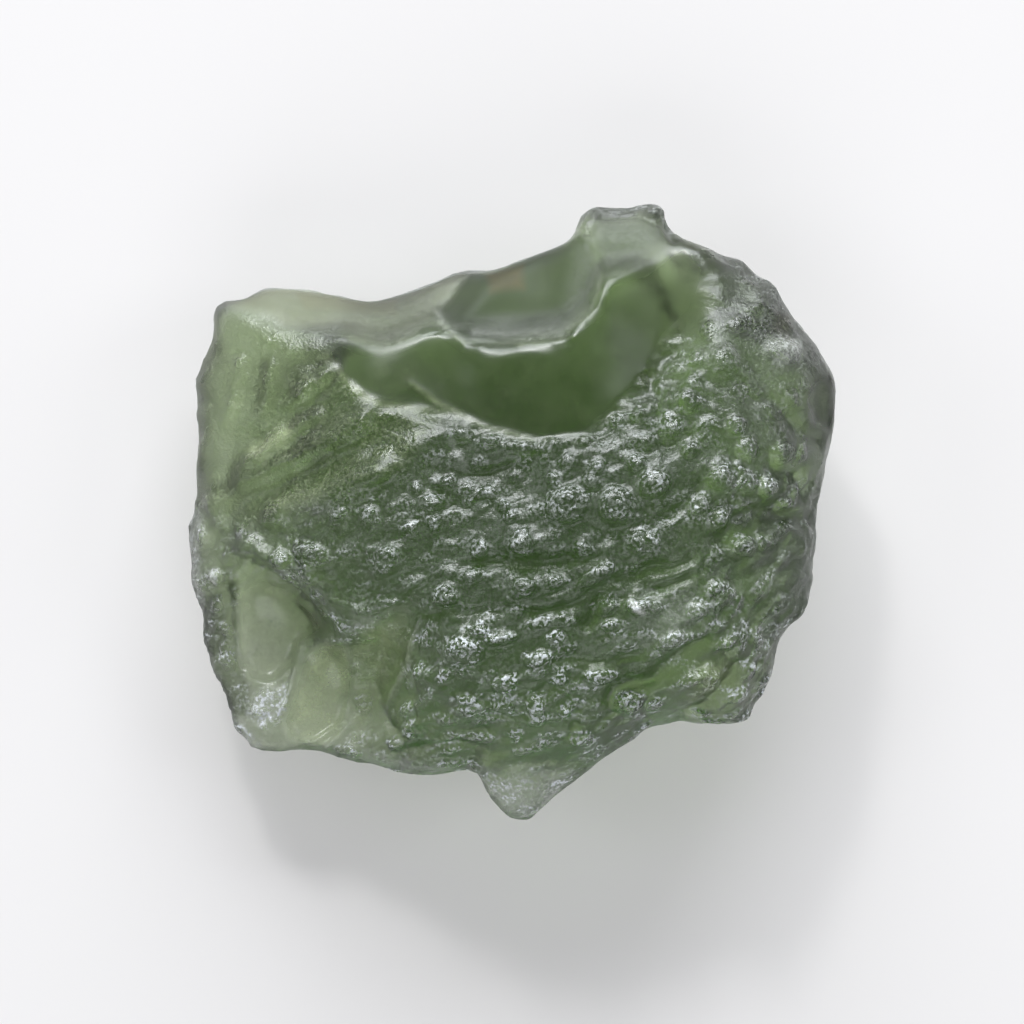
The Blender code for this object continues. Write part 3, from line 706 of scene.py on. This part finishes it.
deepAreas = [
    ([(-2.53, 4.47), (0.51, 4.6), (2.44, 5.57), (5.21, 6.68), (5.21, 5.57), (3.55, 3.64),
        (1.34, 2.26), (-1.7, 2.95)], 0.1, 0.8),
    (smoothAreas["nub"], 1.0, 0.5),
    ([(-8.75, 5.93), (-5.85, 5.16), (-5.02, 4.47), (-5.85, 3.08), (-8.61, 3.08)], 0.55, 0.5),
    ([(5.21, 6.13), (7.69, 6.13), (9.35, 4.19), (9.35, 1.7), (7.42, 1.7), (5.21, 2.53)], 0.62, 0.5),
    (smoothAreas["topShell"], 1.0, 0.3),
    (smoothAreas["topLeftBreak"], 0.35, 0.3),
    ([(2.44, 5.85), (5.76, 7.09), (5.76, 5.85), (3.55, 3.08), (2.44, 4.74)], 0.8, 0.4),
    (smoothAreas["window"], 0.35, 0.2),
    ([(3.55, -5.21), (5.21, -4.1), (7.69, -3.55), (7.97, -5.21), (5.21, -5.21)], 0.3, 0.4),
    ([(5.21, -5.21), (6.31, -5.54), (7.42, -5.21), (7.89, -6.17), (5.21, -6.37)], 0.5, 0.3),
    ([(-1.15, 6.62), (0.78, 7.09), (1.34, 6.4), (0.92, 5.43), (-0.87, 5.52), (-1.7, 5.85)], 0.8, 0.3),
    ([(-8.47, -1.61), (-7.59, -1.89), (-7.37, -4.1), (-7.23, -5.62), (-7.92, -5.76),
        (-8.61, -3.55)], 0.75, 0.2),
    ([(-7.09, -1.61), (-6.13, -1.89), (-5.16, -2.78), (-5.35, -3.41), (-6.13, -2.72)], 0.6, 0.2),
    ([(-4.41, -3.55), (-2.81, -3), (-3.08, -4.93), (-4.19, -6.31)], 0.15, 0.3),
    ([(-2.26, 1.56), (-0.04, 1.7), (0.23, 0.87), (-1.98, 0.74)], 0.4, 0.4),
    ([(5.76, 0.32), (8.52, 0.6), (8.52, -0.51), (6.31, -0.51)], 0.5, 0.3),
    ([(-4.19, -6.31), (-0.87, -5.9), (-0.87, -7.14), (-3.64, -7)], 0.4, 0.3),
]
leafAreas = [
    smoothAreas["window"],
    smoothAreas["bowl"],
    smoothAreas["bowlStep"],
    smoothAreas["smoothBreak"],
    [(-8.61, 5.57), (-5.02, 4.6), (-1.98, 2.67), (-3.08, 1.15), (-7.23, -0.37), (-8.89, 0.32)],
    [(4.93, -4.1), (6.17, -3.96), (6.31, -4.93), (4.93, -5.35)],
]
warmAreas = [
    (smoothAreas["topLeftBreak"], 0.3, 0.2),
    ([(-6.13, 6.26), (-3.08, 6.07), (-3.08, 5.35), (-5.85, 5.52)], 0.5, 0.3),
    ([(-0.74, 6.73), (0.23, 6.84), (0.29, 6.18), (-0.6, 6.13)], 1.0, 0.2),
    ([(7.28, 5.57), (7.69, 5.43), (7.64, 4.88), (7.2, 5.02)], 0.5, 0.2),
]


def painted(areas, lines):
    total = np.zeros(len(points))
    for ring, strength, border in areas:
        total = np.maximum(total, strength * eased(areaDepth(x, y, ring), -border, border))
    for path, halfWidth, strength in lines:
        away = pathDistance(x, y, path)
        total = np.maximum(total, strength * np.exp(-((away / halfWidth) ** 2)))
    return total * facing


def storeField(name, values):
    field = stone.data.attributes.new(name, "FLOAT", "POINT")
    field.data.foreach_set("value", values.astype(np.float32))


sideFrostAndSheen = 0.13            # frost of the steep sides, partly a painted grey reflection along the rims
thinShade = 0.2             # how much darker the thin rim of the face is
steepness = eased(1.0 - normals[:, 2], 0.45, 1.0)
thinness = eased(4.8 - points[:, 2], 0.0, 2.5) * facing * (1.0 - softArea(["window", "bowl"], 0.2))
# painted highlight: the bright facet low on the left that catches the light
paintedFacetGlint = painted([([(-7.42, -5.54), (-6.9, -4.99), (-6.13, -4.65), (-6.24, -5.54),
    (-6.9, -6.04)], 0.8, 0.1)], [])
storeField("skin", skin)
storeField("knobTop", knobTop)
storeField("satin", satin)
# painted highlights: the knobs' crescents, quieter in the calm areas, and the bright facet
storeField("paintedHighlights", np.maximum(paintedHighlights * skin * (1.5 * calm - 0.5), paintedFacetGlint))
storeField("leaf", painted([(ring, 1.0, 0.3) for ring in leafAreas], []))
storeField("ringDistance", ringDistance)
# pale frost with painted reflection on the bright facet and the steep sides, and the painted highlight
# lines
storeField("frostAndSheen", np.maximum(painted(frostAndSheenAreas, frostAndHighlightLines), steepness * sideFrostAndSheen))
storeField("deep", np.clip(painted(deepAreas, []) + thinness * thinShade, 0.0, 1.0))
storeField("warm", painted(warmAreas, []))


# Shader maths that reads as plain Python

class Value:
    def __init__(self, shader, socket):
        self.shader = shader
        self.socket = socket

    def joined(self, operation, first, second):
        return self.shader.node("Math", {"operation": operation}, {0: first, 1: second})

    def __add__(self, other):
        return self.joined("ADD", self, other)

    def __sub__(self, other):
        return self.joined("SUBTRACT", self, other)

    def __rsub__(self, other):
        return self.joined("SUBTRACT", other, self)

    def __mul__(self, other):
        return self.joined("MULTIPLY", self, other)

    __radd__ = __add__
    __rmul__ = __mul__

    def clamped(self):
        return self.shader.node("Clamp", {}, {"Value": self})


class Shader:
    def __init__(self, name):
        self.material = bpy.data.materials.new(name)
        self.material.use_nodes = True
        self.tree = self.material.node_tree
        self.tree.nodes.clear()

    def node(self, kind, settings, sockets, out=0):
        made = self.tree.nodes.new("ShaderNode" + kind)
        for name, setting in settings.items():
            setattr(made, name, setting)
        for name, value in sockets.items():
            if isinstance(value, Value):
                self.tree.links.new(value.socket, made.inputs[name])
            else:
                made.inputs[name].default_value = value
        return Value(self, made.outputs[out]) if made.outputs else None

    def mixColours(self, factor, first, second):
        return self.node("Mix", {"data_type": "RGBA"}, {0: factor, 6: first, 7: second}, 2)

    def field(self, name):
        return self.node("Attribute", {"attribute_name": name}, {}, 2)

    def pattern(self, place, scale, detail, roughness):
        sockets = {"Vector": place, "Scale": scale, "Detail": detail, "Roughness": roughness}
        return self.node("TexNoise", {}, sockets)


glass = {
    "clear": (0.95, 0.97, 0.92, 1.0),
    "deep": (0.16, 0.2, 0.12, 1.0),
    "brown": (0.4, 0.23, 0.11, 1.0),
    "absorbed": (0.405, 0.58, 0.16, 1.0),
    "density": 520.0,
    "ior": 1.49,
    "smoothRoughness": 0.27,
    "skinRoughness": 0.32,
    "satinRoughness": 0.65,
    "knobPolish": 0.17,     # how much less rough the knobs are
    "bumpHeight": 0.00004,
    "skinBump": 0.55,
    "knobBump": 0.25,
    "ringBump": 0.07,
    "ringSpacing": 0.13,
    "ringUnrest": 4.0,      # how much the patterns bend the rings
}
patterns = {
    # name: turns per millimetre, detail, roughness
    "fine": (7.0, 3.0, 0.6),
    "patches": (1.6, 4.0, 0.65),
    "tiny": (10.0, 2.0, 0.6),
}
frostAndHighlightStyle = {
    # tint of the pale frost and of the painted sheen
    "frostAndSheen": (0.57, 0.59, 0.55, 1.0),
    "leaf": (0.56, 0.64, 0.38, 1.0),
    # colour of the painted highlights
    "highlightTint": (0.74, 0.78, 0.82, 1.0),
    "cream": (0.38, 0.34, 0.24, 1.0),
    "roughness": 0.4,
    "shine": 0.25,
    "least": 0.08,          # frost all over the skin
    "most": 0.62,           # frost share of the painted highlights at their brightest
    "speckStart": 0.44,     # the tiny pattern makes specks above this, and grains above the next
    "grainStart": 0.4,
    "speckContrast": 6.0,
    "grainContrast": 4.0,
    "arcRings": 0.3,        # what the rings and the specks add to the painted highlight arcs, and what is taken off
    "arcSpecks": 1.1,
    "arcStart": 0.15,
    "skinGrains": 2.0,      # the skin's frost: in grains, and even
    "skinEven": 0.3,
    "mottleEven": 0.2,      # the pale places of frost and painted sheen: even, in patches and in grains
    "mottlePatches": 0.8,
    "mottleGrains": 0.5,
    "leafFewerGrains": 0.4,
    "leafPatches": 1.6,
}


def moldaviteMaterial():
    shader = Shader("moldaviteGlass")
    place = shader.node("TexCoord", {}, {}, 3)
    inMm = shader.node("VectorMath", {"operation": "SCALE"}, {0: place, "Scale": 1 / mm})
    skinShare = shader.field("skin")
    knobShare = shader.field("knobTop")
    satinShare = shader.field("satin")
    fine = shader.pattern(inMm, *patterns["fine"])
    patches = shader.pattern(inMm, *patterns["patches"])
    tiny = shader.pattern(inMm, *patterns["tiny"])
    specks = ((tiny - frostAndHighlightStyle["speckStart"]) * frostAndHighlightStyle["speckContrast"]).clamped()
    roughness = glass["smoothRoughness"] + skinShare * (glass["skinRoughness"] - glass["smoothRoughness"])
    roughness = roughness - knobShare * glass["knobPolish"]
    roughness = roughness + satinShare * (glass["satinRoughness"] - glass["smoothRoughness"])
    ringPhase = shader.field("ringDistance") * (2 * math.pi / glass["ringSpacing"])
    ringPhase = ringPhase + patches * glass["ringUnrest"] + fine * glass["ringUnrest"]
    rings = shader.node("Math", {"operation": "SINE"}, {0: ringPhase}) * knobShare
    height = tiny * (skinShare * glass["skinBump"] + knobShare * glass["knobBump"])
    height = height + rings * glass["ringBump"]
    bump = shader.node("Bump", {}, {"Height": height, "Strength": 1.0, "Distance": glass["bumpHeight"]})
    tint = shader.mixColours(shader.field("deep"), glass["clear"], glass["deep"])
    tint = shader.mixColours(shader.field("warm"), tint, glass["brown"])
    body = shader.node("BsdfPrincipled", {}, {
        "Base Color": tint,
        "Roughness": roughness,
        "IOR": glass["ior"],
        "Transmission Weight": 1.0,
        "Normal": bump,
    })
    # frost and painted highlights: broken arcs of painted highlight on the knobs, frost grains on the
    # skin, and the pale places drawn on the face, partly painted sheen
    highlightArcs = rings * frostAndHighlightStyle["arcRings"] + specks * frostAndHighlightStyle["arcSpecks"]
    highlightArcs = (highlightArcs - frostAndHighlightStyle["arcStart"]).clamped()
    # painted highlight: pale arcs and specks on the knobs
    highlightShare = (shader.field("paintedHighlights") * highlightArcs * (patches + 0.5)).clamped()
    grains = ((tiny - frostAndHighlightStyle["grainStart"]) * frostAndHighlightStyle["grainContrast"]).clamped()
    frostAndHighlightShare = skinShare * (grains * patches * frostAndHighlightStyle["skinGrains"] + frostAndHighlightStyle["skinEven"])
    frostAndHighlightShare = frostAndHighlightShare * frostAndHighlightStyle["least"] + highlightShare * frostAndHighlightStyle["most"]
    leafShare = shader.field("leaf")
    mottle = frostAndHighlightStyle["mottleEven"] + patches * frostAndHighlightStyle["mottlePatches"]
    mottle = mottle + grains * (frostAndHighlightStyle["mottleGrains"] - leafShare * frostAndHighlightStyle["leafFewerGrains"])
    mottle = mottle + leafShare * (patches - 0.5) * frostAndHighlightStyle["leafPatches"]
    frostAndHighlightShare = frostAndHighlightShare + shader.field("frostAndSheen") * mottle
    frostAndHighlightTint = shader.mixColours(leafShare, frostAndHighlightStyle["frostAndSheen"], frostAndHighlightStyle["leaf"])
    frostAndHighlightTint = shader.mixColours(shader.field("warm"), frostAndHighlightTint, frostAndHighlightStyle["cream"])
    frostAndHighlightTint = shader.mixColours(highlightShare, frostAndHighlightTint, frostAndHighlightStyle["highlightTint"])
    frostAndHighlight = shader.node("BsdfPrincipled", {}, {
        "Base Color": frostAndHighlightTint,
        "Roughness": frostAndHighlightStyle["roughness"],
        "Specular IOR Level": frostAndHighlightStyle["shine"],
        "Normal": bump,
    })
    surface = shader.node("MixShader", {}, {0: frostAndHighlightShare.clamped(), 1: body, 2: frostAndHighlight})
    inside = shader.node("VolumeAbsorption", {}, {"Color": glass["absorbed"], "Density": glass["density"]})
    shader.node("OutputMaterial", {}, {"Surface": surface, "Volume": inside})
    return shader.material


stone.data.materials.clear()
stone.data.materials.append(moldaviteMaterial())
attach(stone, "root")
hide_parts("moldavite")
print("stone dressed")


# A pale floor, soft light and the photograph's straight look down on the face

studio = {
    "floorSide": 3.0,
    "floorGap": 0.00001,
    "floorColour": (0.64, 0.622, 0.615, 1.0),
    "floorGlow": 0.18,
    "cameraHeight": 0.6,
    "frameWidth": 0.0283,
    "sensor": 36.0,
    "edgeHeight": 0.003,
    "world": (0.95, 0.97, 1.0, 1.0),
    "worldStrength": 0.22,
}
lamps = {
    # name: place, size, watts, colour
    "topWindow": ((0.0, 0.42, 0.185), (0.42, 0.26), 3.4, (0.93, 0.96, 1.0)),
    "lowWindow": ((0.0, -0.377, 0.264), (0.4, 0.25), 0.69, (0.95, 0.97, 1.0)),
    "glintLamp": ((-0.1, 0.35, 0.25), (0.05, 0.05), 0.47, (1.0, 1.0, 1.0)),
    "leftWindow": ((-0.377, 0.05, 0.264), (0.2, 0.2), 0.3, (0.93, 0.96, 1.0)),
    "rightWindow": ((0.377, 0.05, 0.264), (0.2, 0.2), 0.3, (0.93, 0.96, 1.0)),
}


def addFloor():
    bpy.ops.mesh.primitive_plane_add(size=studio["floorSide"], location=(0, 0, -studio["floorGap"]))
    floor = bpy.context.object
    floor.name = "paleFloor"
    shader = Shader("paleFloor")
    paper = shader.node("BsdfPrincipled", {}, {
        "Base Color": studio["floorColour"],
        "Roughness": 0.9,
        "Emission Color": (1.0, 1.0, 1.0, 1.0),
        "Emission Strength": studio["floorGlow"],
    })
    shader.node("OutputMaterial", {}, {"Surface": paper})
    floor.data.materials.append(shader.material)
    floor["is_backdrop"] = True


def addSoftLight(name, place, size, watts, colour):
    lamp = bpy.data.lights.new(name, "AREA")
    lamp.shape = "RECTANGLE"
    lamp.size, lamp.size_y = size
    lamp.energy = watts
    lamp.color = colour
    holder = bpy.data.objects.new(name, lamp)
    bpy.context.scene.collection.objects.link(holder)
    holder.location = place
    holder.rotation_euler = (-Vector(place)).to_track_quat("-Z", "Y").to_euler()


def addCamera():
    lens = bpy.data.cameras.new("faceCamera")
    lens.sensor_width = studio["sensor"]
    distance = studio["cameraHeight"] - studio["edgeHeight"]
    lens.lens = studio["sensor"] * distance / studio["frameWidth"]
    lens.clip_start = 0.01
    camera = bpy.data.objects.new("faceCamera", lens)
    camera.location = (0.0, 0.0, studio["cameraHeight"])
    bpy.context.scene.collection.objects.link(camera)
    bpy.context.scene.camera = camera


def addWorld():
    world = bpy.data.worlds.new("softRoom")
    world.use_nodes = True
    room = world.node_tree.nodes["Background"]
    room.inputs["Color"].default_value = studio["world"]
    room.inputs["Strength"].default_value = studio["worldStrength"]
    bpy.context.scene.world = world


addFloor()
addWorld()
for name, (place, size, watts, colour) in lamps.items():
    addSoftLight(name, place, size, watts, colour)
addCamera()
bpy.context.scene.view_settings.view_transform = "Standard"
print("studio lit")

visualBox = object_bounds()
sizes = {"cad": [list(map(float, corner)) for corner in cadBox],
         "visual": [list(map(float, corner)) for corner in visualBox]}
print("sizes written, the stone has", len(stone.data.polygons), "faces")
